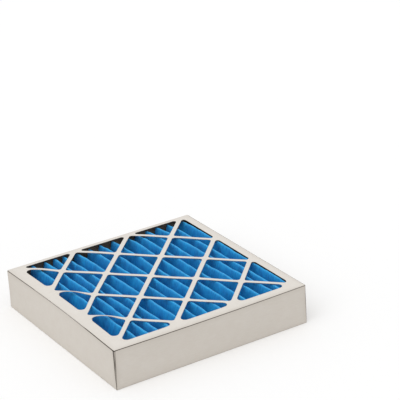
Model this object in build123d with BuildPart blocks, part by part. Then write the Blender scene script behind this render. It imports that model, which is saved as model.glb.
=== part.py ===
from build123d import *

import os
from math import acos, atan, atan2, cos, degrees, hypot, sin, tan

# Pleated panel air filter: a zigzag pack of filter media in a frame of two folded board trays,
# one nested in the other, each with a lattice of diagonal strips across its open face.
# The origin is the centre of the underside. X runs across the pleats, Y runs along them and
# Z is the way the air goes. All sizes are in millimetres.

# The frame
width = 495.0  # outside, across the pleats
length = 495.0  # outside, along the pleats
depth = 95.0  # outside, through the filter
board = 0.8  # thickness of the board that both trays are folded from
fold_radius = 1.2  # outside radius of a folded edge
glue_film = 0.2  # between the walls of the two trays
wall_step = 1.1  # how far the outer walls stop below the top face
wall_lift = 0.7  # how far the inner walls stop above the bottom face
flap = 32.0  # length of the inner tray's corner flaps

# The notch between two outer walls where they meet at a corner, widest at the top
corner_gap = 2.2
corner_gap_low = 0.3

# The windowed field in each face: its edges, measured in from the outside of the frame
border_left = 30.5
border_right = 21.0
border_front = 23.5
border_back = 12.0

# The lattice of diagonal strips across that field. Its outermost crossings stand this far inside
# the field's edges, or outside them where the value is negative
cross_left = -5.0
cross_right = 6.5
cross_front = 6.5
cross_back = -1.5
cells = 3  # diamonds from one side to the other, each way
strip = 10.5  # width of a diagonal strip
crossing_radius = 7.0  # corners of the openings where strips cross
border_radius = 12.0  # sharp corners where a strip runs into the border

# The pleated pack
legs = 31  # flat stretches of the zigzag: an odd count starts high and ends low
media = 2.6  # thickness of the media
backing = 0.6  # thickness of the expanded metal sheet that follows the media
backing_film = 0.1  # adhesive between the media and the metal
fold_inside = 0.5  # inside radius of the metal where it goes over an upper tip
tip_gap = 2.2  # from the pleat tips to the face above or below them
pack_gap = 1.0  # from the pack to the walls round it

# The adhesive beads that hold and seal the pack
bead_height = 12.0

# Worked out from the sizes above
wall_stack = 2 * board + glue_film
pack_low = board + tip_gap
pack_high = depth - board - tip_gap
side_left = -width / 2 + wall_stack + pack_gap
side_right = width / 2 - wall_stack - pack_gap
end_front = -length / 2 + wall_stack + board + pack_gap
end_back = length / 2 - wall_stack - board - pack_gap
pack_length = end_back - end_front


def frame_block(inset, low, high):
    """Return the block inside the frame's outline taken in by inset, from height low to high."""
    with BuildPart() as block:
        with BuildSketch(Plane.XY.offset(low)):
            Rectangle(width - 2 * inset, length - 2 * inset)
        extrude(amount=high - low)
    return block.part


def lattice_windows():
    """Return the sketch of the openings that the diagonal strips leave in a face.

    Strip middle lines join the corners of a grid of cells, so each opening is a rhombus with half
    diagonals of half a cell, less half a strip all round. Those centred on the grid's outer lines
    are cut by the field's edge.
    """
    field_x = width - border_left - border_right
    field_y = length - border_front - border_back
    field_middle = (border_left - border_right) / 2, (border_front - border_back) / 2
    cell_x = (field_x - cross_left - cross_right) / cells
    cell_y = (field_y - cross_front - cross_back) / cells
    middle_x = field_middle[0] + (cross_left - cross_right) / 2
    middle_y = field_middle[1] + (cross_front - cross_back) / 2
    across_flats = cell_x * cell_y / 2 / hypot(cell_x / 2, cell_y / 2)
    shrink = 1 - strip / across_flats
    tip_x = cell_x / 2 * shrink
    tip_y = cell_y / 2 * shrink
    rhombus = [(tip_x, 0), (0, tip_y), (-tip_x, 0), (0, -tip_y)]
    hair = strip / 1000

    def in_field(corner):
        """Say whether a corner of an opening stands clear of the field's edges."""
        from_edge_x = field_x / 2 - abs(corner.X - field_middle[0])
        from_edge_y = field_y / 2 - abs(corner.Y - field_middle[1])
        return min(from_edge_x, from_edge_y) > hair

    def is_sharp(corner):
        """Say whether a corner is where the field's edge cuts an opening short of its middle."""
        from_line_x = cells * cell_x / 2 - abs(corner.X - middle_x)
        from_line_y = cells * cell_y / 2 - abs(corner.Y - middle_y)
        return min(from_line_x, from_line_y) > hair and not in_field(corner)

    with BuildSketch() as windows:
        with Locations((middle_x, middle_y)):
            with GridLocations(cell_x, cell_y, cells, cells - 1):
                Polygon(*rhombus)
            with GridLocations(cell_x, cell_y, cells - 1, cells):
                Polygon(*rhombus)
            with GridLocations(cell_x, cells * cell_y, cells, 2):
                Polygon(*rhombus)
            with GridLocations(cells * cell_x, cell_y, 2, cells):
                Polygon(*rhombus)
        with Locations(field_middle):
            Rectangle(field_x, field_y, mode=Mode.INTERSECT)
        fillet(windows.vertices().filter_by(in_field), radius=crossing_radius)
        fillet(windows.vertices().filter_by(is_sharp), radius=border_radius)
    return windows.sketch


def leg_angle():
    """Return how far a leg of the zigzag leans from upright, in radians.

    With tips of radius r whose circles are centred a height 2c apart and half a pitch 2a apart,
    a leg touches both circles where a cos(angle) - c sin(angle) = r.
    """
    a = leg_step / 2
    c = (middle_high - middle_low) / 2 - tip_radius
    return acos(tip_radius / hypot(a, c)) - atan2(c, a)


def pleat_line(drop):
    """Return the line that follows the pleats a distance drop below the media's middle.

    Each tip keeps the height that its circle has. The bare outside of the media is round over
    the upper tips. Every other tip is pressed flat, between two bends. The line's ends are cut
    square to the leg, where the media's middle meets the height of a tip.
    """
    middle = (middle_high + middle_low) / 2 - drop / sin(lean)
    start_x, start_z = pack_ends[0]
    finish_x, finish_z = pack_ends[1]
    points = [(start_x - drop * cos(lean), start_z - drop * sin(lean))]
    radii = []
    for i in range(1, legs):
        up = 1 if i % 2 == 0 else -1
        tip_x = side_left + i * leg_step
        tip_z = (middle_high if up == 1 else middle_low) - drop
        corner_z = middle + up * leg_step / 2 / tan(lean)
        if up == 1 and drop < 0:
            points.append((tip_x, corner_z))
            radii.append(tip_radius - drop)
        else:
            half_flat = abs(corner_z - tip_z) * tan(lean)
            points += [(tip_x - half_flat, tip_z), (tip_x + half_flat, tip_z)]
            radii += [0, 0]
    last_up = 1 if legs % 2 == 0 else -1
    points.append((finish_x + last_up * drop * cos(lean), finish_z - drop * sin(lean)))
    return FilletPolyline(*points, radius=radii)


def pleated_sheet(label, top, bottom):
    """Return the sheet that lies between top and bottom, as drops below the media's middle."""
    with BuildPart() as sheet:
        with BuildSketch(pleat_plane):
            with BuildLine():
                upper = pleat_line(top)
                lower = pleat_line(bottom)
                Line(upper @ 0, lower @ 0)
                Line(upper @ 1, lower @ 1)
            make_face()
        extrude(amount=pack_length)
    sheet.part.label = label
    return sheet


windows = lattice_windows()

# The pack's zigzag: its middle line's tips have this radius and lie between these heights
tip_radius = fold_inside + backing + backing_film + media / 2
middle_high = pack_high - media / 2
middle_low = pack_low + backing + backing_film + media / 2
leg_step = (side_right - side_left) / legs
lean = leg_angle()
end_inset = leg_step / 2 - (middle_high - middle_low) / 2 * tan(lean)
end_height = middle_high if legs % 2 == 0 else middle_low
pack_ends = [(side_left + end_inset, middle_high), (side_right - end_inset, end_height)]


# The outer tray: the bottom face with its lattice, and four walls folded up from it.
# Their ends lean away from each other towards the top, which leaves a notch at each corner.
notch_height = depth - fold_radius
notch_taper = degrees(atan((corner_gap - corner_gap_low) / notch_height))

with BuildPart() as outer_tray:
    add(frame_block(0, 0, depth - wall_step))
    fillet(outer_tray.edges().group_by(Axis.Z)[0], radius=fold_radius)
    add(frame_block(board, board, depth), mode=Mode.SUBTRACT)
    fillet(outer_tray.faces().filter_by(Plane.XY).group_by(Axis.Z)[1].edges(), radius=fold_radius - board)
    with BuildSketch(Plane.XY):
        add(windows)
    extrude(amount=board, mode=Mode.SUBTRACT)
    with BuildSketch(Plane.XY.offset(depth)):
        with GridLocations(width, length, 2, 2):
            Rectangle(2 * corner_gap, 2 * corner_gap)
    extrude(amount=-notch_height, taper=notch_taper, mode=Mode.SUBTRACT)
outer_tray.part.label = "outer_tray"


# The inner tray: the top face with its lattice, four walls folded down inside the outer ones,
# and a flap at each corner, folded from the end of a side wall and glued behind the end wall
inner_low = board + wall_lift
inner_inset = board + glue_film

with BuildPart() as inner_tray:
    add(frame_block(inner_inset, inner_low, depth))
    fillet(inner_tray.edges().group_by(Axis.Z)[-1], radius=fold_radius)
    add(frame_block(wall_stack, inner_low, depth - board), mode=Mode.SUBTRACT)
    with BuildSketch(Plane.XY.offset(depth)):
        add(windows)
    extrude(amount=-board, mode=Mode.SUBTRACT)
    with BuildSketch(Plane.XY.offset(inner_low)):
        with GridLocations(width - 2 * wall_stack - flap, length - 2 * wall_stack - board, 2, 2):
            Rectangle(flap, board)
    extrude(amount=depth - board - inner_low)
inner_tray.part.label = "inner_tray"


# The media: one sheet folded into pleats. The backing: expanded metal, glued to the leaving
# side of the media and folded with it
pleat_plane = Plane.XZ.offset(-end_back)
backing_top = media / 2 + backing_film

pleated_media = pleated_sheet("pleated_media", -media / 2, media / 2)
wire_backing = pleated_sheet("wire_backing", backing_top, backing_top + backing)


# The beads of adhesive: one along each end wall, where the pleats end, and one along each side
# wall, where the pack's last leg meets it
def end_bead(label, end, wall):
    """Return the bead between the pleats' ends, at y = end, and the end wall beyond them."""
    with BuildPart() as bead:
        add(frame_block(wall_stack, pack_low, pack_low + bead_height))
        with BuildSketch(Plane.XY):
            with Locations((0, (end + wall) / 2)):
                Rectangle(width, abs(wall - end))
        extrude(amount=depth, mode=Mode.INTERSECT)
        add(inner_tray.part, mode=Mode.SUBTRACT)
    bead.part.label = label
    return bead


def side_bead(label, end, outward):
    """Return the bead between the pack's last leg and the side wall beyond it.

    The leg ends at the point end and leans in from there. Where it ends high, the backing is
    on its outer side, and where it ends low, the bare media is.
    """
    end_x, end_z = end
    skin = media / 2
    far_z = end_z + bead_height
    if end_z == middle_high:
        skin = media / 2 + backing_film + backing
        far_z = end_z - bead_height
    near_x = end_x + outward * skin / cos(lean)
    far_x = near_x - outward * bead_height * tan(lean)
    wall_x = outward * width
    with BuildPart() as bead:
        with BuildSketch(pleat_plane):
            with BuildLine():
                Polyline((near_x, end_z), (wall_x, end_z), (wall_x, far_z), (far_x, far_z), close=True)
            make_face()
        extrude(amount=pack_length)
        add(frame_block(wall_stack, 0, depth), mode=Mode.INTERSECT)
    bead.part.label = label
    return bead


beads = [
    end_bead("front_end_bead", end_front, -length),
    end_bead("back_end_bead", end_back, length),
    side_bead("left_side_bead", pack_ends[0], -1),
    side_bead("right_side_bead", pack_ends[1], 1),
]

os.makedirs("parts", exist_ok=True)
for piece in [outer_tray, inner_tray, pleated_media, wire_backing] + beads:
    export_step(piece.part, f"parts/{piece.part.label}.step")
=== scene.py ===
from math import radians

import bmesh
import bpy
import numpy as np
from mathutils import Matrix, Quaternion, Vector


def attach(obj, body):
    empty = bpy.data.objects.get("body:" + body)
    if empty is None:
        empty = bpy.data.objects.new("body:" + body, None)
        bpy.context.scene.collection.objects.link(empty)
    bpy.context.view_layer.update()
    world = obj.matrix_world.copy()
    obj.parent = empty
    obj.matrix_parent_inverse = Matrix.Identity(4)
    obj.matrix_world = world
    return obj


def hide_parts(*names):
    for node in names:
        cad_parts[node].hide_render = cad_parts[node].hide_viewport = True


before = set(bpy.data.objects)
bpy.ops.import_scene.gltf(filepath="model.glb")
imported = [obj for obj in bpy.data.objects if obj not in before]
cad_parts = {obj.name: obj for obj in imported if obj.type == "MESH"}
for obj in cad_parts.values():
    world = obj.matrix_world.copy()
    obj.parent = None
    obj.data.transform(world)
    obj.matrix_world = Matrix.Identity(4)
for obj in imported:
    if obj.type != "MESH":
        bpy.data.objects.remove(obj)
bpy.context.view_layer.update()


# The view
# A long lens from in front of the filter's left corner, a little above it and tipped slightly to
# one side, so that the top face and two walls show.
camera_data = bpy.data.cameras.new("camera")
camera_data.lens = 155.26
camera_data.sensor_width = 36.0
camera_data.clip_end = 50.0
camera = bpy.data.objects.new("camera", camera_data)
camera.location = (-1.7356, -3.0728, 1.8177)
sight = Vector((0.31915, 0.30143, 0.095)) - camera.location
camera.rotation_mode = "QUATERNION"
camera.rotation_quaternion = sight.to_track_quat("-Z", "Y") @ Quaternion((0.0, 0.0, 1.0), radians(-3.278))
bpy.context.collection.objects.link(camera)
bpy.context.scene.camera = camera


# The outer tray
# One die-cut sheet of coated chipboard: the underside with its lattice of diagonal strips, and
# four walls folded up from it. The walls stop just below the top face and leave a slim notch at
# each corner. Sizes are in millimetres until a mesh is made.
half = 247.5  # from the middle of the filter to the outside of a wall
depth = 95.0
board = 0.8
fold_radius = 1.2
wall_top = 93.5  # height that the outer walls end at
notch_top, notch_low = 3.0, 0.5  # from the corner to a wall's end, at its top and at its fold
flare = 0.5  # how far the walls' top edges and ends stand off the tray inside
left_bow, front_bow = 4.5, 3.2  # how far the left wall is pushed in and the front one out

# The windowed field's edges, and the lattice of strips across it
field_left, field_right = -half + 28.5, half - 21.0
field_front, field_back = -half + 23.5, half - 12.0
cell_x, cell_y = 147.333, 151.5
middle_x, middle_y = -1.0, 9.75
# The strips that rise to the right are the wider ones. An opening's sides lie this share of the way
# from its middle to the strips' middle lines.
rising_strip, falling_strip = 10.5, 8.6
cell_across = cell_x * cell_y / 2 / np.hypot(cell_x / 2, cell_y / 2)
rising, falling = 1 - rising_strip / cell_across, 1 - falling_strip / cell_across
window_radius = 7.0
# How many points a cell's outline has along a strip, along the face's edge and between the two, and
# how many an opening's outline and the arc at one of its corners are made of
strip_steps, edge_steps, between_steps = 26, 22, 10
outline_points, arc_points = 1500, 17


def cosine_steps(count):
    """Fractions from 0 up to but not including 1, close together near both ends: (1 - cos(pi s)) / 2."""
    return (1 - np.cos(np.pi * np.arange(count) / count)) / 2


def rounded(corners, radii):
    """Return a closed outline, evenly spaced, with each corner of a polygon rounded to its radius.

    An arc touches both sides of its corner, r tan(turn / 2) away from it, and is swept from the
    first of these points through the angle that the outline turns by there.
    """
    corners, radii = np.array(corners, float), np.array(radii, float)[:, None]
    along = corners - np.roll(corners, 1, axis=0)
    along /= np.linalg.norm(along, axis=1, keepdims=True)
    onward = np.roll(along, -1, axis=0)
    crossed = along[:, 0] * onward[:, 1] - along[:, 1] * onward[:, 0]
    turn = np.arctan2(crossed, (along * onward).sum(axis=1))[:, None]
    touch = corners - along * radii * np.tan(turn / 2)
    arm = np.stack([along[:, 1], -along[:, 0]], axis=1) * radii
    swept = np.linspace(0, 1, arc_points) * turn
    x = (touch - arm)[:, :1] + arm[:, :1] * np.cos(swept) - arm[:, 1:] * np.sin(swept)
    y = (touch - arm)[:, 1:] + arm[:, :1] * np.sin(swept) + arm[:, 1:] * np.cos(swept)
    outline = np.stack([x.ravel(), y.ravel()], axis=1)
    outline = np.vstack([outline, outline[:1]])
    run = np.append(0, np.cumsum(np.linalg.norm(np.diff(outline, axis=0), axis=1)))
    even = np.linspace(0, run[-1], outline_points)
    return np.stack([np.interp(even, run, outline[:, 0]), np.interp(even, run, outline[:, 1])], axis=1)


def grid_quads(rows, columns, closed=False):
    """Return the quads of a grid of points: row by row, and round to the first column if closed."""
    r, c = np.meshgrid(np.arange(rows - 1), np.arange(columns - (not closed)), indexing="ij")
    r, c = r.ravel(), c.ravel()
    beside = (c + 1) % columns
    here, below = r * columns, (r + 1) * columns
    return np.stack([here + c, below + c, below + beside, here + beside], axis=1)


def window_ring(cell, counts, opening, centre):
    """Return the board round one opening, as rows of points from the opening out to its cell's outline.

    The outline's sides are sampled by cosine steps. From each sample a straight line runs towards
    a centre inside the opening and stops at its edge, whose distance is looked up by bearing.
    """
    cell = np.array(cell, float)
    sides = zip(cell, np.roll(cell, -1, axis=0), counts)
    outer = np.concatenate([a + (b - a) * cosine_steps(n)[:, None] for a, b, n in sides])
    arm, reach = outer - centre, opening - centre
    bearing = np.arctan2(arm[:, 1], arm[:, 0])
    far = np.interp(bearing, np.arctan2(reach[:, 1], reach[:, 0]), np.hypot(*reach.T), period=2 * np.pi)
    inner = centre + np.stack([np.cos(bearing), np.sin(bearing)], axis=1) * far[:, None]
    rows = np.array([0.0, 0.16, 0.5, 1.0])[:, None, None]
    return inner + (outer - inner) * rows


def lattice_face(edge):
    """Return the points (x, y) and quads of a flat square face whose sides lie edge from its middle.

    The strips' middle lines divide the face into cells, one for each opening: a rhombus inside the
    field, and at its rim a rhombus cut by the field's edge, whose cell runs out to the face's edge.
    """
    a, b = cell_x / 2, cell_y / 2
    rings = []
    mean, skew = (falling + rising) / 2, (falling - rising) / 2
    whole = [(i, j + 0.5) for i in (-1, 0, 1) for j in (-1, 0)]
    whole += [(i + 0.5, j) for i in (-1, 0) for j in (-1, 0, 1)]
    for i, j in whole:
        centre = np.array([middle_x + i * cell_x, middle_y + j * cell_y])
        corners = np.array([(mean * a, skew * b), (skew * a, mean * b),
                            (-mean * a, -skew * b), (-skew * a, -mean * b)])
        cell = centre + np.array([(a, 0), (0, b), (-a, 0), (0, -b)])
        opening = rounded(centre + corners, [window_radius] * 4)
        rings.append(window_ring(cell, [strip_steps] * 4, opening, centre))
    counts = [strip_steps, strip_steps, between_steps, edge_steps, between_steps]
    # Each rim: the ways along it and inward, half a cell and the strips' shares those ways, how far out
    # the field's edge lies, and the corners' radii, three for a triangle and five for one with cut ends
    rims = [
        ((1, 0), (0, 1), a, b, falling, rising, -field_front, [11.0, window_radius, 11.0]),
        ((0, 1), (-1, 0), b, a, rising, falling, field_right, [6.0, window_radius, 4.0, 1.5, 7.0]),
        ((-1, 0), (0, -1), a, b, falling, rising, field_back, [6.0, window_radius, 6.0]),
        ((0, -1), (1, 0), b, a, rising, falling, -field_left, [10.5, window_radius, 10.5]),
    ]
    for along, inward, t, n, ahead, behind, reach, radii in rims:
        along, inward = np.array(along, float), np.array(inward, float)
        line = 3 * n - (middle_x * inward[0] + middle_y * inward[1])
        beyond = reach - line
        mean, skew = (ahead + behind) / 2, (ahead - behind) / 2
        edge_ends = [(-t * (ahead - beyond / n), -beyond), (t * (behind - beyond / n), -beyond)]
        if len(radii) == 5:
            shape = [(t * mean, n * skew), (t * skew, n * mean), (-t * mean, -n * skew)] + edge_ends
        else:
            shape = [(t * (ahead + beyond / n), -beyond), (t * skew, n * mean),
                     (-t * (behind + beyond / n), -beyond)]
        for i in (-1, 0, 1):
            at = middle_x * along[0] + middle_y * along[1] + 2 * t * i
            low = -edge if i == -1 else at - t
            high = edge if i == 1 else at + t
            middle = along * at - inward * line
            opening = rounded([middle + along * p + inward * q for p, q in shape], radii)
            cell = [middle + along * t, middle + inward * n, middle - along * t,
                    along * low - inward * edge, along * high - inward * edge]
            centre = middle + inward * (10 - beyond)  # 10 mm inside the field's edge
            rings.append(window_ring(cell, counts, opening, centre))
    points, quads, start = [], [], 0
    for ring in rings:
        points.append(ring.reshape(-1, 2))
        quads.append(grid_quads(ring.shape[0], ring.shape[1], closed=True) + start)
        start += ring.shape[0] * ring.shape[1]
    return np.concatenate(points), np.concatenate(quads)


def rim_sides(edge):
    """Return the points of a face's outer edge, side by side: front, right, back and left."""
    sides = []
    for along, inward, t in [((1, 0), (0, 1), cell_x / 2), ((0, 1), (-1, 0), cell_y / 2),
                             ((-1, 0), (0, -1), cell_x / 2), ((0, -1), (1, 0), cell_y / 2)]:
        at = middle_x * along[0] + middle_y * along[1]
        stops = [-edge, at - t, at + t, edge]
        run = np.concatenate([p + (q - p) * cosine_steps(edge_steps) for p, q in zip(stops[:-1], stops[1:])])
        sides.append(np.append(run, edge)[:, None] * np.array(along) - np.array(inward) * edge)
    return sides


def folded_tray(outside, wall_end, gap_at_fold, gap_at_end, flare):
    """Return the points and quads of a tray's outer surface, its face at height 0 and its walls below it.

    Each wall leaves the face round a quarter circle, out = R sin(t) and down = R (1 - cos(t)), and then
    runs straight. Its ends stop short of the corner by a gap that grows evenly from fold to end. With d
    the way down it and a the way from its middle, both as shares, it stands out by
    flare (d^8 + d^0.7 a^60).
    """
    edge = outside - fold_radius
    t = np.linspace(0, np.pi / 2, 6)
    straight = np.array([0.012, 0.03, 0.1, 0.25, 0.4, 0.55, 0.7, 0.85, 0.96, 1])
    down = np.append(fold_radius * (1 - np.cos(t)), fold_radius + (wall_end - fold_radius) * straight)
    out = np.append(fold_radius * np.sin(t), np.full(len(straight), fold_radius))
    gap = gap_at_fold + (gap_at_end - gap_at_fold) * down / wall_end
    gap[0] = 0
    flat, quads = lattice_face(edge)
    points = [np.column_stack([flat, np.zeros(len(flat))])]
    quads, start = [quads], len(flat)
    for k, side in enumerate(rim_sides(edge)):
        outward = np.array([k % 2 == 1, k % 2 == 0])
        way_down = (down / wall_end)[:, None]
        to_end = abs(side[:, 0 if k % 2 == 0 else 1]) / edge
        reach_out = 1 + (out[:, None] + flare * (way_down ** 8 + way_down ** 0.7 * to_end ** 60)) / edge
        reach_along = 1 + (out - gap)[:, None] / edge + np.zeros(len(side))
        wall = side * np.where(outward, reach_out[..., None], reach_along[..., None])
        depths = np.broadcast_to(-down[:, None, None], (len(down), len(side), 1))
        points.append(np.concatenate([wall, depths], axis=2).reshape(-1, 3))
        quads.append(grid_quads(len(down), len(side)) + start)
        start += len(points[-1])
    return np.concatenate(points), np.concatenate(quads)


def eased(x):
    """Return 0 below 0, 1 above 1, and 3 x^2 - 2 x^3 between them."""
    x = np.clip(x, 0, 1)
    return x * x * (3 - 2 * x)


def drift(x, y, wavelengths, seed):
    """Return smooth random waves of about unit height: two cosines for each wavelength, with directions
    and phases drawn from the seed."""
    rng = np.random.default_rng(seed)
    total = np.zeros(np.broadcast(x, y).shape)
    for length in wavelengths:
        for turn, phase in zip(rng.uniform(0, np.pi, 2), rng.uniform(0, 2 * np.pi, 2)):
            total += np.cos(2 * np.pi * (x * np.cos(turn) + y * np.sin(turn)) / length + phase)
    return total / np.sqrt(len(wavelengths))


def settled(points):
    """Return points moved as handling has moved the whole filter, which is nowhere quite straight.

    The left wall's top bows in at its middle and takes the border and the pleats beside it along. The
    front wall's top bows out. The bows fall off with the square of the distance from the wall's middle,
    and towards the underside. The walls wave by half a millimetre.
    """
    x, y, z = points.T
    height = np.clip(z / depth, 0, 1) ** 1.3
    bow_left = left_bow * (1 - (y / half) ** 2).clip(0) ** 1.5 * (1 - eased((x - field_left) / 70)) * height
    bow_front = -front_bow * (1 - (x / half) ** 2).clip(0) * (1 - eased((y + half) / 24)) * height
    at_wall = 1 - eased((half - np.maximum(abs(x), abs(y))) / 12)
    wave = 0.45 * drift(x + z, y + z, [310, 170], 4) * at_wall * np.sin(np.pi * np.clip(z / depth, 0, 1))
    side = abs(x) > abs(y)
    return np.stack([x + bow_left + wave * side, y + bow_front + wave * ~side, z], axis=1)


def lay_mesh(name, points, quads, weld=0.004):
    """Return an object of points given in millimetres, in which those that coincide are made one."""
    mesh = bpy.data.meshes.new(name)
    mesh.from_pydata((points / 1000).tolist(), [], quads.tolist())
    form = bmesh.new()
    form.from_mesh(mesh)
    bmesh.ops.remove_doubles(form, verts=form.verts, dist=weld / 1000)
    form.to_mesh(mesh)
    form.free()
    piece = bpy.data.objects.new(name, mesh)
    bpy.context.collection.objects.link(piece)
    return piece


def thicken(piece, thickness, materials, offset=-1.0, crease=35):
    """Give a sheet its thickness, with materials for its outside, its inside and its cut edges, and keep
    the edges where it turns by more than crease degrees crisp."""
    for material in materials:
        piece.data.materials.append(material)
    skin = piece.modifiers.new("thickness", "SOLIDIFY")
    skin.thickness = thickness / 1000
    skin.offset = offset
    skin.use_even_offset = False
    skin.material_offset = min(1, len(materials) - 1)
    skin.material_offset_rim = min(2, len(materials) - 1)
    solid = bpy.data.meshes.new_from_object(piece.evaluated_get(bpy.context.evaluated_depsgraph_get()))
    piece.modifiers.clear()
    piece.data = solid
    solid.shade_smooth()
    solid.set_sharp_from_angle(angle=radians(crease))


def linear(code):
    """Return an sRGB hex colour as linear RGBA: c / 12.92 to 0.04045, ((c + 0.055) / 1.055)^2.4 above."""
    c = np.array([int(code[i:i + 2], 16) / 255.0 for i in (0, 2, 4)])
    rgb = np.where(c <= 0.04045, c / 12.92, ((c + 0.055) / 1.055) ** 2.4)
    return (*rgb.tolist(), 1.0)


def node(tree, kind, inputs=(), **settings):
    """Add a node with its settings. Each input is a value for its socket, or another node's output."""
    added = tree.nodes.new(kind)
    for name, value in settings.items():
        setattr(added, name, value)
    for socket, value in dict(inputs).items():
        if isinstance(value, bpy.types.NodeSocket):
            tree.links.new(value, added.inputs[socket])
        else:
            added.inputs[socket].default_value = value
    return added


def ramp(tree, factor, stops):
    """Add a colour ramp over these (position, hex colour) stops, and return its colour."""
    added = node(tree, "ShaderNodeValToRGB", {"Fac": factor})
    added.color_ramp.elements.remove(added.color_ramp.elements[1])
    added.color_ramp.elements[0].position = stops[0][0]
    added.color_ramp.elements[0].color = linear(stops[0][1])
    for position, code in stops[1:]:
        added.color_ramp.elements.new(position).color = linear(code)
    return added.outputs["Color"]


def material(name, colour, roughness, bump=None, **fixed):
    """Return a material whose colour, roughness and bump are built by functions of its node tree."""
    made = bpy.data.materials.new(name)
    made.use_nodes = True
    tree = made.node_tree
    shader = tree.nodes["Principled BSDF"]
    tree.links.new(colour(tree), shader.inputs["Base Color"])
    tree.links.new(roughness(tree), shader.inputs["Roughness"])
    if bump:
        tree.links.new(bump(tree), shader.inputs["Normal"])
    for socket, value in fixed.items():
        shader.inputs[socket.replace("_", " ")].default_value = value
    return made


def mark(piece, name, values):
    """Store one number for each vertex of the piece's mesh, for its material to read."""
    piece.data.attributes.new(name, "FLOAT", "POINT").data.foreach_set("value", values.astype(np.float32))


def vertices(piece):
    """Return the piece's vertices in millimetres."""
    points = np.empty(3 * len(piece.data.vertices))
    piece.data.vertices.foreach_get("co", points)
    return points.reshape(-1, 3) * 1000


def handled(points):
    """Return how rubbed the board is: 1 on its folds and corners, fading over 4 to 6 mm from them."""
    x, y, z = abs(points.T)
    to_side = half - np.maximum(x, y)
    to_face = np.minimum(z, depth - z)
    to_corner = np.hypot(half - x, half - y)
    return np.maximum(np.exp(-np.maximum(to_side, to_face) / 4), np.exp(-to_corner / 6))


def painted_crease_shade(points):
    """Return where the inner tray gets painted shade, as 0 to 1.

    It is painted shade in the groove all along the top face's fold, from 0.7 to 2.5 mm below the face,
    and in the notches down the corners, on the upper part of the side walls and the lower part of the
    end walls, where the shadow falls. It fades from the front left corner to a half at the far one.
    """
    x, y, z = points.T
    painted_at_fold = eased((depth - z - 0.5) / 0.4) * (1 - eased((depth - z - 2.3) / 0.4))
    painted_at_fold *= np.maximum(abs(x), abs(y)) > half - 4
    from_corner = half - np.minimum(abs(x), abs(y))
    upper = eased((z / depth - 0.35) / 0.3)
    lower = 1 - eased((z / depth - 0.6) / 0.3)
    shade_at_corner = eased((from_corner - 0.9) / 0.8) * (1 - eased((from_corner - 2.5) / 1.5))
    shade_at_corner *= np.where(abs(x) > abs(y), upper, lower) * (np.maximum(abs(x), abs(y)) > half - 1.5)
    return np.maximum(painted_at_fold, shade_at_corner) * (1 - 0.5 * eased((x + y + 2 * half) / (2.4 * half)))


def board_colour(light, dark, speck):
    """Return the function that builds a board's colour: cloudy formation, long fibres and small specks.
    It takes the specks' tone where it has been rubbed, and a dark brown painted shade where that is marked.
    """
    def build(tree):
        place = node(tree, "ShaderNodeTexCoord").outputs["Object"]
        cloud = node(tree, "ShaderNodeTexNoise",
                     {"Vector": place, "Scale": 45.0, "Detail": 4.0, "Roughness": 0.55})
        long_way = node(tree, "ShaderNodeMapping", {"Vector": place, "Scale": (70.0, 620.0, 620.0)})
        fibre = node(tree, "ShaderNodeTexNoise",
                     {"Vector": long_way.outputs[0], "Scale": 1.0, "Detail": 2.0})
        mixed = node(tree, "ShaderNodeMath", {0: cloud.outputs[0], 1: fibre.outputs[0]}, operation="ADD")
        halved = node(tree, "ShaderNodeMath", {0: mixed.outputs[0], 1: 0.5}, operation="MULTIPLY")
        base = ramp(tree, halved.outputs[0], [(0.36, dark), (0.62, light)])
        grit = node(tree, "ShaderNodeTexVoronoi", {"Vector": place, "Scale": 210.0, "Randomness": 1.0})
        dots = node(tree, "ShaderNodeMapRange",
                    {"Value": grit.outputs["Distance"], "From Min": 0.12, "From Max": 0.05, "To Max": 0.22})
        worn = node(tree, "ShaderNodeAttribute", attribute_name="handled").outputs["Fac"]
        rub = node(tree, "ShaderNodeMath", {0: worn, 1: cloud.outputs[0]}, operation="MULTIPLY")
        soft_rub = node(tree, "ShaderNodeMath", {0: rub.outputs[0], 1: 0.5}, operation="MULTIPLY")
        both = node(tree, "ShaderNodeMath",
                    {0: dots.outputs[0], 1: soft_rub.outputs[0]}, operation="MAXIMUM")
        tone = node(tree, "ShaderNodeMix",
                    {0: both.outputs[0], 6: base, 7: linear(speck)}, data_type="RGBA")
        # Painted shade: dark brown in the groove under the top fold and in the corner notches, for the
        # shadow there.
        crease_shade = node(tree, "ShaderNodeAttribute", attribute_name="painted_crease_shade").outputs["Fac"]
        shaded_tone = node(tree, "ShaderNodeMix",
                         {0: crease_shade, 6: tone.outputs[2], 7: linear("3E362F")}, data_type="RGBA")
        return shaded_tone.outputs[2]
    return build


def noise_between(scale, low, high):
    """Return the function that builds an even noise between two values, scale cells to the metre."""
    def build(tree):
        place = node(tree, "ShaderNodeTexCoord").outputs["Object"]
        noise = node(tree, "ShaderNodeTexNoise", {"Vector": place, "Scale": scale, "Detail": 3.0})
        spread = node(tree, "ShaderNodeMapRange", {"Value": noise.outputs[0], "From Min": 0.3,
                                                   "From Max": 0.7, "To Min": low, "To Max": high})
        return spread.outputs[0]
    return build


def noise_bump(scale, height):
    """Return the function that builds a bump of noise, height in metres and scale cells to the metre."""
    def build(tree):
        place = node(tree, "ShaderNodeTexCoord").outputs["Object"]
        noise = node(tree, "ShaderNodeTexNoise", {"Vector": place, "Scale": scale, "Detail": 3.0})
        return node(tree, "ShaderNodeBump", {"Height": noise.outputs[0], "Distance": height}).outputs[0]
    return build


# White-lined chipboard, clay-coated: a matt, warm, nearly white lining with faint clouds and specks.
# The grain of 0.1 mm paper fibre is drawn 1.6 mm wide, because a finer one wouldn't show.
lining = material("clay_coated_lining", board_colour("E3DED7", "DFD9D1", "A79B8C"),
                  noise_between(160.0, 0.58, 0.72), noise_bump(900.0, 0.00006), Specular_IOR_Level=0.35)
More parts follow.
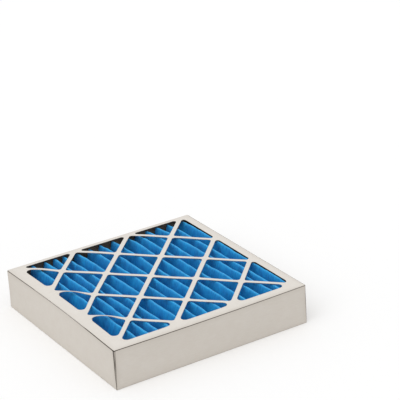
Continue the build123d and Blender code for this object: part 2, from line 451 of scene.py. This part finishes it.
# Its back is unbleached recycled fibre, grey-brown and quite matt. It is drawn darker still, as
# painted shade, so that the filter is dark inside.
back_with_painted_shade = material("recycled_back_painted_dark", board_colour("6E6152", "554A3E", "3A3129"),
                     noise_between(160.0, 0.85, 0.95), noise_bump(700.0, 0.00015), Specular_IOR_Level=0.2)
# Where the die cut it, the grey core shows as a slightly furry line, pale when fresh.
cut_edge = material("die_cut_core", board_colour("B9AFA3", "A3988B", "6E6255"),
                    noise_between(400.0, 0.85, 0.95), noise_bump(1500.0, 0.0002), Specular_IOR_Level=0.2)
# The outer walls' free edges are drawn as a dark line of painted shade. It stands for the shadow in
# the gaps below the top fold and at the corner notches.
shaded_edge = material("board_edge_painted_shade", board_colour("6A5E52", "54493F", "352D26"),
                       noise_between(400.0, 0.85, 0.95), noise_bump(1500.0, 0.0002), Specular_IOR_Level=0.2)

points, quads = folded_tray(half, wall_top, notch_low, notch_top, flare)
points[:, 2] *= -1  # its face lies underneath, and its walls stand up
outer = lay_mesh("outer_board_tray", settled(points), quads[:, ::-1])
thicken(outer, board, [lining, back_with_painted_shade, shaded_edge])
mark(outer, "handled", handled(vertices(outer)))
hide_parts("outer_tray")
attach(outer, "root")


# The inner tray
# A second sheet of the same board: the top face with its lattice, and walls folded down inside the
# outer ones and glued to them. At each corner a flap of its side wall is glued behind the end wall.
inner_outside = half - board - 0.2
inner_wall_end = depth - board - 0.7
flap_length = 32.0
# The strips that have buckled: the crossing that each starts from, in cells from the middle, its way
# to the next one (-1 to the back left, 1 to the front right), how high it arches and how far it rolls
buckled_strips = [(-1, 0, -1, 3.8, 0.36), (-1, -1, -1, 4.2, 0.38), (-1, 1, -1, 1.2, 0.05),
                  (-0.5, 1.5, 1, 1.2, 0.0), (0.5, 1.5, 1, 1.2, 0.0)]


def buckled(points):
    """Return points of the top lattice moved as its strips have moved.

    The strips that the bowed border pushes on arch up by (1 - a^2)^2 along their length, and roll,
    so that their near edge stands up. All of the lattice waves by a fraction of a millimetre.
    """
    x, y, z = points.T
    inside = eased((half - 8 - np.maximum(abs(x), abs(y))) / 40) * (z > depth - 2)
    lift = 0.3 * drift(x, y, [190, 120], 9) * inside
    for i, j, way_x, height, roll in buckled_strips:
        start = np.array([middle_x + i * cell_x, middle_y + j * cell_y])
        reach = np.array([way_x * cell_x, -way_x * cell_y]) / 4
        length = np.linalg.norm(reach)
        across, up = x - start[0] - reach[0], y - start[1] - reach[1]
        a = (across * reach[0] + up * reach[1]) / length / (length - 6)
        b = (up * reach[0] - across * reach[1]) / length * -way_x
        arch = (1 - a * a).clip(0) ** 2 * (abs(b) < 16) * (z > depth - 2)
        lift = lift + arch * (height + roll * b)
    return np.stack([x, y, z + lift], axis=1)


def corner_flaps():
    """Return the points and quads of the four flaps, flat rectangles just inside the end walls."""
    across = np.linspace(0, flap_length, 9)[:, None] + np.zeros(12)
    down = np.zeros((9, 1)) - np.linspace(1.0, inner_wall_end, 12)
    points, quads = [], []
    for k, (x, y) in enumerate([(-1, -1), (1, -1), (1, 1), (-1, 1)]):
        behind = np.full(across.shape, y * (inner_outside - board - 0.05))
        flap = np.stack([x * (inner_outside - board - across), behind, down], axis=2)
        faces = grid_quads(9, 12) + k * across.size
        points.append(flap.reshape(-1, 3))
        quads.append(faces if x * y > 0 else faces[:, ::-1])
    return np.concatenate(points), np.concatenate(quads)


points, quads = folded_tray(inner_outside, inner_wall_end, 0.0, 0.0, 0.0)
flap_points, flap_quads = corner_flaps()
quads = np.concatenate([quads, flap_quads + len(points)])
points = np.concatenate([points, flap_points])
points[:, 2] += depth
inner = lay_mesh("inner_board_tray", settled(buckled(points)), quads)
thicken(inner, board, [lining, back_with_painted_shade, cut_edge])
mark(inner, "handled", handled(vertices(inner)))
# The groove under the top fold and the corner notches are marked for painted shade.
mark(inner, "painted_crease_shade", painted_crease_shade(vertices(inner)))
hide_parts("inner_tray")
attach(inner, "root")


# The pleated media
# One sheet of needled polyester and glass fibre, dyed blue, folded into thirty-one legs and held at
# its ends by adhesive. It is soft: its folds wander, and sag towards the back wall.
media = 2.3
fold = 1.7  # radius of a fold's middle layer
pack_top, pack_foot = 90.7, 6.4  # heights of the folds of its middle layer
pack_left, pack_right = -243.0, 242.6  # where its first and last legs end
end_front, end_back = -243.9, 243.9  # where its pleats end
# How far the upper folds lie from the outside of the left wall, on a line near the front wall and on
# one near the back wall
line_front, line_back = -195.0, 170.0
folds_front = np.array([27.5, 71.0, 101.5, 126.0, 153.7, 189.5, 223.5, 253.0,
                        286.5, 319.5, 353.8, 390.2, 422.5, 444.0, 473.0]) - half
folds_back = np.array([27.5, 64.5, 97.5, 121.0, 147.5, 179.8, 216.0, 246.6,
                       280.7, 316.6, 346.0, 376.5, 407.0, 436.0, 472.0]) - half
# How much painted highlight each row of points gets, from an upper fold down to a lower one and from
# there up again: the five rows of the fold's arc, and then the five of the leg after it. Only the upper
# folds and the legs' tops beside them are paled, where the light falls. A little of it is the dye
# thinned where the sheet is stretched.
highlight_down = [0.4, 0.8, 1.2, 0.7, 0.35, 0.25, 0.12, 0, 0, 0]
highlight_up = [0, 0, 0, 0, 0, 0, 0, 0, 0.14, 0.3]


def wander(count, y, wavelengths, seed):
    """Return a smooth random line along y for each of count folds, of about unit height: for each
    wavelength a cosine with its own phase and a share drawn from the seed."""
    rng = np.random.default_rng(seed)
    shape = (count, 1, len(wavelengths))
    wave = np.cos(2 * np.pi * y[:, None] / np.array(wavelengths) + rng.uniform(0, 2 * np.pi, shape))
    return (wave * rng.uniform(0.4, 1.0, shape)).sum(axis=2)


def pleats(rows):
    """Return the points of the media's middle layer as a grid, its rows' painted highlight and its run.

    A fold is an arc round its centre and a leg is the straight line that touches two arcs: with
    centres a distance D apart, it leans from the line between them by asin((r1 + r2) / D). Each leg
    bulges by a wandering amount times sin(pi f), f being the fraction of the way along it.
    """
    y = np.linspace(end_front, end_back, rows)
    toward_back = ((y - line_front) / (line_back - line_front))[None, :]
    upper = folds_front[:, None] * (1 - toward_back) + folds_back[:, None] * toward_back
    first, last = np.full((1, rows), pack_left), np.full((1, rows), pack_right)
    lower = (np.vstack([first, upper[:-1]]) + upper) / 2
    folds = np.vstack([first, np.stack([lower, upper], axis=1).reshape(-1, rows), last])
    count = len(folds)
    is_up = np.arange(count) % 2 == 0
    inner_fold = (np.arange(count) > 0) & (np.arange(count) < count - 1)
    # Folds beside the side walls are held by their neighbours and wander less
    sway = np.where(inner_fold, 1.0, 0.0)[:, None] * (0.35 + 0.65 * (abs(folds) < 200))
    x = folds + sway * (0.7 * wander(count, y, [300, 170, 105], 21) + 0.12 * wander(count, y, [44, 29], 22))
    # The pleats have sunk beside the back wall, each by its own amount, and a little beside the front one
    rng = np.random.default_rng(5)
    end_sag = eased((y - 190) / 54) * rng.uniform(1.5, 5.5, (count, 1)) + eased((-y - 225) / 20) * 1.5
    sag = 0.45 * (1.2 + wander(count, y, [260, 95, 40], 23)).clip(0) + end_sag
    z = np.where(is_up[:, None], pack_top - sag * (folds > -240), pack_foot)
    radius = fold * inner_fold[:, None]
    sign = np.where(is_up, 1.0, -1.0)[:, None]
    centre_x, centre_z = x, z - sign * radius
    run_x, run_z = np.diff(centre_x, axis=0), np.diff(centre_z, axis=0)
    touching = np.arcsin((radius[:-1] + radius[1:]) / np.hypot(run_x, run_z))
    lean = np.arctan2(run_z, run_x) - sign[:-1] * touching
    # Arcs, from the lean of the leg before to that of the leg after
    before = np.concatenate([lean[:1], lean])
    after = np.concatenate([lean, lean[-1:]])
    s = np.linspace(0, 1, 5)[None, :, None]
    angle = before[:, None] + (after - before)[:, None] * s
    arc_x = centre_x[:, None] - (sign * radius)[:, None] * np.sin(angle)
    arc_z = centre_z[:, None] + (sign * radius)[:, None] * np.cos(angle)
    # Legs, with most of their points near the upper fold, where they are seen
    f = np.array([0.05, 0.14, 0.27, 0.45, 0.70])
    f = np.where(is_up[:-1, None], f, 1 - f[::-1])[:, :, None]
    leg_x = arc_x[:-1, -1:] + (arc_x[1:, :1] - arc_x[:-1, -1:]) * f
    leg_z = arc_z[:-1, -1:] + (arc_z[1:, :1] - arc_z[:-1, -1:]) * f
    bulge = 0.75 * wander(count - 1, y, [170, 70, 33], 24)[:, None] * np.sin(np.pi * f)
    bulge[0] = bulge[-1] = 0
    leg_x = leg_x - bulge * np.sin(lean[:, None])
    leg_z = leg_z + bulge * np.cos(lean[:, None])
    grid_x = np.concatenate([arc_x[:-1], leg_x], axis=1).reshape(-1, rows)
    grid_z = np.concatenate([arc_z[:-1], leg_z], axis=1).reshape(-1, rows)
    # The first and the last fold have no radius, so one point of each is enough
    grid_x = np.concatenate([grid_x[4:], arc_x[-1, :1]])
    grid_z = np.concatenate([grid_z[4:], arc_z[-1, :1]])
    highlight = np.append(np.where(is_up[:-1, None], highlight_down, highlight_up).ravel()[4:], 0)
    grid = np.stack([grid_x, np.broadcast_to(y, grid_x.shape), grid_z], axis=2)
    steps = np.linalg.norm(np.diff(grid[:, rows // 2], axis=0), axis=1)
    return grid, highlight, np.append(0, np.cumsum(steps))


def give_uv(piece, u, v):
    """Give the piece a UV map from one pair of numbers, in metres, for each vertex."""
    layer = piece.data.uv_layers.new(name="cloth")
    corners = np.empty(len(piece.data.loops), int)
    piece.data.loops.foreach_get("vertex_index", corners)
    layer.data.foreach_set("uv", np.stack([u[corners], v[corners]], axis=1).ravel())


def media_colour(tree):
    """Build the media's colour: streaks of fibre along its run, cloudy dye, and a painted highlight on the
    upper folds.
    """
    cloth = node(tree, "ShaderNodeUVMap", uv_map="cloth").outputs[0]
    down = node(tree, "ShaderNodeMapping", {"Vector": cloth, "Scale": (60.0, 420.0, 1.0)})
    streak = node(tree, "ShaderNodeTexNoise", {"Vector": down.outputs[0], "Scale": 1.0, "Detail": 4.0})
    dye = node(tree, "ShaderNodeTexNoise", {"Vector": cloth, "Scale": 38.0, "Detail": 3.0})
    mixed = node(tree, "ShaderNodeMath", {0: streak.outputs[0], 1: dye.outputs[0]}, operation="ADD")
    halved = node(tree, "ShaderNodeMath", {0: mixed.outputs[0], 1: 0.5}, operation="MULTIPLY")
    base = ramp(tree, halved.outputs[0], [(0.36, "0371B5"), (0.50, "078ACE"), (0.64, "10A3E0")])
    # Painted highlight: the upper folds and the legs' tops beside them are paled towards light blue.
    painted_at_fold = node(tree, "ShaderNodeAttribute", attribute_name="fold").outputs["Fac"]
    highlight = node(tree, "ShaderNodeMath", {0: painted_at_fold, 1: streak.outputs[0]}, operation="MULTIPLY")
    tone = node(tree, "ShaderNodeMix",
                {0: highlight.outputs[0], 6: base, 7: linear("58BBF4")}, data_type="RGBA")
    return tone.outputs[2]


def media_bump(tree):
    """Build the media's bump: its fibres' streaks and lumps, 0.3 mm deep."""
    cloth = node(tree, "ShaderNodeUVMap", uv_map="cloth").outputs[0]
    down = node(tree, "ShaderNodeMapping", {"Vector": cloth, "Scale": (130.0, 420.0, 1.0)})
    lumps = node(tree, "ShaderNodeTexNoise", {"Vector": down.outputs[0], "Scale": 1.0, "Detail": 4.0})
    return node(tree, "ShaderNodeBump", {"Height": lumps.outputs[0], "Distance": 0.0003}).outputs[0]


# Needled nonwoven: a soft, light-scattering felt of blue fibres with no gloss and a slight bloom at
# grazing angles. Single fibres are 0.03 mm, so streaks of them are drawn 2.4 mm wide.
blue_felt = material("blue_nonwoven_felt", media_colour, noise_between(300.0, 0.88, 0.98), media_bump,
                     Specular_IOR_Level=0.1, Sheen_Weight=0.08, Sheen_Roughness=0.5)

rows = 140  # of points from the front end to the back one
grid, highlight_at, run = pleats(rows)
quads = grid_quads(len(grid), rows)[:, ::-1]
pleated = lay_mesh("pleated_blue_media", settled(grid.reshape(-1, 3)), quads, weld=0)
give_uv(pleated, np.repeat(run, rows) / 1000, np.tile(grid[0, :, 1], len(grid)) / 1000)
# The fold attribute carries the painted highlight of the upper folds.
mark(pleated, "fold", np.repeat(highlight_at, rows))
thicken(pleated, media, [blue_felt], offset=0.0, crease=80)
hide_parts("pleated_media")
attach(pleated, "root")


# The expanded metal
# A thin sheet of galvanised steel, slit and stretched into diamonds, lies against the leaving side of
# the media and is folded with it. It keeps the pleats open.
strands = 34
strand_run = 9.0  # half a diamond, along the pleats' run
strand_half_width = 1.3
strand_depth = 1.75  # from the media's middle layer to the metal's
strand_step = 5.2  # longest step from one point of a strand to the next
strand_lift = 0.05  # by which neighbours pass above and below each other where they meet
metal_gauge = 0.5


def metal_strands(grid, run):
    """Return the points and quads of the strands, ribbons that weave along the run of the pleats.

    The surface is the pleats' own, moved strand_depth along its normal. Strand j follows it at
    y = w (j + 1/2 +- cos(pi s / h) / 2), its sign turning from one strand to the next, so that
    neighbours meet at every h along the run s.
    """
    rows_down, rows_along = grid.shape[:2]
    normal = np.cross(np.gradient(grid, axis=0), np.gradient(grid, axis=1))
    normal /= np.linalg.norm(normal, axis=2, keepdims=True)
    surface = grid - normal * strand_depth
    pieces = np.maximum(1, np.ceil(np.diff(run) / strand_step)).astype(int)
    since_row = np.arange(pieces.sum()) - np.repeat(np.cumsum(pieces) - pieces, pieces)
    at = np.repeat(np.arange(rows_down - 1), pieces) + since_row / np.repeat(pieces, pieces)
    at = np.append(at, rows_down - 1 - 1e-6)
    s = np.interp(at, np.arange(rows_down), run)
    width = (end_back - end_front - 2) / strands
    j = np.arange(strands)[:, None]
    sign = np.where(j % 2 == 0, 1, -1)
    middle = end_front + 1 + width * (j + 0.5 + sign * 0.5 * np.cos(np.pi * s / strand_run))
    edges = middle[:, :, None] + np.array([-1, 1]) * strand_half_width
    column = np.clip((edges - end_front) / (end_back - end_front) * (rows_along - 1), 0, rows_along - 1.001)
    r, c = np.floor(at).astype(int)[None, :, None], np.floor(column).astype(int)
    p, q = (at % 1)[None, :, None, None], (column % 1)[..., None]
    points = ((surface[r, c] * (1 - q) + surface[r, c + 1] * q) * (1 - p)
              + (surface[r + 1, c] * (1 - q) + surface[r + 1, c + 1] * q) * p)
    points[..., 2] += (sign * strand_lift)[..., None]
    ribbon = grid_quads(len(at), 2)
    quads = (ribbon[None] + (np.arange(strands) * len(at) * 2)[:, None, None]).reshape(-1, 4)
    return points.reshape(-1, 3), quads


def zinc_colour(tree):
    """Build the zinc's colour: grey spangle, with a dull bloom in patches."""
    place = node(tree, "ShaderNodeTexCoord").outputs["Object"]
    spangle = node(tree, "ShaderNodeTexVoronoi", {"Vector": place, "Scale": 260.0})
    bloom = node(tree, "ShaderNodeTexNoise", {"Vector": place, "Scale": 30.0, "Detail": 3.0})
    bright = node(tree, "ShaderNodeSeparateColor", {0: spangle.outputs["Color"]})
    mixed = node(tree, "ShaderNodeMath", {0: bright.outputs[0], 1: bloom.outputs[0]}, operation="MULTIPLY")
    return ramp(tree, mixed.outputs[0], [(0.0, "A9ABAD"), (0.6, "C6C8CA")])


# Galvanised steel: bare zinc, a grey metal with a soft, broken shine.
zinc = material("galvanised_steel", zinc_colour,
                noise_between(220.0, 0.34, 0.52), noise_bump(900.0, 0.00005), Metallic=1.0)

points, quads = metal_strands(grid, run)
metal = lay_mesh("expanded_metal_backing", settled(points), quads, weld=0)
thicken(metal, metal_gauge, [zinc], offset=0.0, crease=40)
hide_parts("wire_backing")
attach(metal, "root")


# The adhesive
# Four beads of hot melt hold the pack and seal its edges: one along each end wall, which the pleats'
# ends are set in, and one along each side wall, where the pack's last leg meets it.
bead_height = 12.0
end_bead_at = 9.0  # height of the end walls' beads, near the underside
left_bead_at, right_bead_at = 85.5, 11.5  # and of the side walls', where the pack's last legs end


def bead_tube(start, finish, half_thick, half_high, seed):
    """Return the points and quads of a bead squeezed between two parts, from start to finish.

    Its section is an oval, a cos(t) by b sin(t), which swells and thins along the bead by wandering
    amounts, and closes at both ends as sqrt(1 - u^8).
    """
    u = np.linspace(-1, 1, 160)
    t = np.linspace(0, 2 * np.pi, 14, endpoint=False)
    start, finish = np.array(start, float), np.array(finish, float)
    way = (finish - start) / np.linalg.norm(finish - start)
    side = np.array([way[1], -way[0], 0])
    swell = wander(3, u * np.linalg.norm(finish - start) / 2, [90, 41, 23, 13], seed)
    closing = np.sqrt(1 - u ** 8)
    thick = half_thick * (1 + 0.10 * swell[0]) * closing
    high = half_high * (1 + 0.12 * swell[1]) * closing
    line = start + (finish - start) * ((u + 1) / 2)[:, None] + np.array([0, 0, 0.5]) * swell[2][:, None]
    points = (line[:, None] + side * (thick[:, None] * np.cos(t))[..., None]
              + np.array([0, 0, 1]) * (high[:, None] * np.sin(t))[..., None])
    return points.reshape(-1, 3), grid_quads(len(u), len(t), closed=True)


def melt_colour(tree):
    """Build the adhesive's colour: cream, with yellower clouds where it lies thick."""
    place = node(tree, "ShaderNodeTexCoord").outputs["Object"]
    cloud = node(tree, "ShaderNodeTexNoise", {"Vector": place, "Scale": 90.0, "Detail": 2.0})
    return ramp(tree, cloud.outputs[0], [(0.35, "B9A67E"), (0.65, "D8CBA8")])


# Hot-melt adhesive: waxy and cream-coloured, with a soft sheen and flow ripples a few millimetres long.
hot_melt = material("hot_melt_adhesive", melt_colour,
                    noise_between(120.0, 0.32, 0.5), noise_bump(260.0, 0.0004),
                    Subsurface_Weight=0.1, Subsurface_Scale=0.002)

along_end = half - 2 * board - 0.2 - 2  # how far the end walls' beads reach from the middle
# Each bead: its name and its solid's, where it starts and ends, half its thickness, its height, its seed
beads = [
    ("front_glue_bead", "front_end_bead", (-along_end, -244.9), (along_end, -244.9), 1.35, end_bead_at, 31),
    ("back_glue_bead", "back_end_bead", (along_end, 244.9), (-along_end, 244.9), 1.35, end_bead_at, 32),
    ("left_glue_bead", "left_side_bead", (-244.3, 243), (-244.3, -243), 1.5, left_bead_at, 33),
    ("right_glue_bead", "right_side_bead", (244.2, -243), (244.2, 243), 1.6, right_bead_at, 34),
]
for name, cad_name, start, finish, half_thick, height, seed in beads:
    points, quads = bead_tube((*start, height), (*finish, height), half_thick, bead_height / 2, seed)
    bead = lay_mesh(name, settled(points), quads)
    bead.data.materials.append(hot_melt)
    bead.data.shade_smooth()
    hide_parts(cad_name)
    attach(bead, "root")


# The floor
# A wide sheet of white paper that the filter lies on. It isn't part of the filter. It is overlit, so
# its far edge can't be told from the white room behind it.
floor_reach = 6.0  # metres from the middle to a side


def sweep_colour(tree):
    """Build the paper's colour: white to the eye, pale grey to the light that it throws on the walls."""
    seen = node(tree, "ShaderNodeLightPath").outputs["Is Camera Ray"]
    tone = node(tree, "ShaderNodeMix",
                {0: seen, 6: linear("CCC8C3"), 7: linear("FFFFFF")}, data_type="RGBA")
    return tone.outputs[2]


# Uncoated paper: quite matt, so that the filter leaves a soft shadow on it and no reflection.
white_paper = material("white_paper_sweep", sweep_colour, noise_between(5.0, 0.95, 1.0),
                       Specular_IOR_Level=0.0)

floor_points = floor_reach * 1000 * np.array([(-1, -1, 0), (1, -1, 0), (1, 1, 0), (-1, 1, 0)])
floor = lay_mesh("floor", floor_points, np.array([(0, 1, 2, 3)]))
floor.data.materials.append(white_paper)


# The light
# A white room lights the filter softly from all sides, and less the deeper it goes between the
# pleats. One broad lamp high at the front left sets the walls apart.
world = bpy.data.worlds.new("studio")
bpy.context.scene.world = world
world.use_nodes = True
# Seen directly, in a shine or through something, the room is plain white; as a lamp it is dimmer.
room = world.node_tree.nodes["Background"]
room.inputs["Color"].default_value = (1, 1, 1, 1)
ray = node(world.node_tree, "ShaderNodeLightPath")
seen = ray.outputs["Is Camera Ray"]
for way in ("Is Glossy Ray", "Is Transmission Ray"):
    either = node(world.node_tree, "ShaderNodeMath", {0: seen, 1: ray.outputs[way]}, operation="MAXIMUM")
    seen = either.outputs[0]
level = node(world.node_tree, "ShaderNodeMapRange", {"Value": seen, "To Min": 0.80, "To Max": 1.0})
world.node_tree.links.new(level.outputs[0], room.inputs["Strength"])

sun_data = bpy.data.lights.new("sun", "SUN")
sun_data.energy = 0.82
sun_data.angle = radians(60)
sun = bpy.data.objects.new("sun", sun_data)
sun.rotation_mode = "QUATERNION"
sun.rotation_quaternion = Vector((0.70, 0.35, -1.0)).to_track_quat("-Z", "Y")
bpy.context.collection.objects.link(sun)
bpy.context.scene.view_settings.view_transform = "Standard"
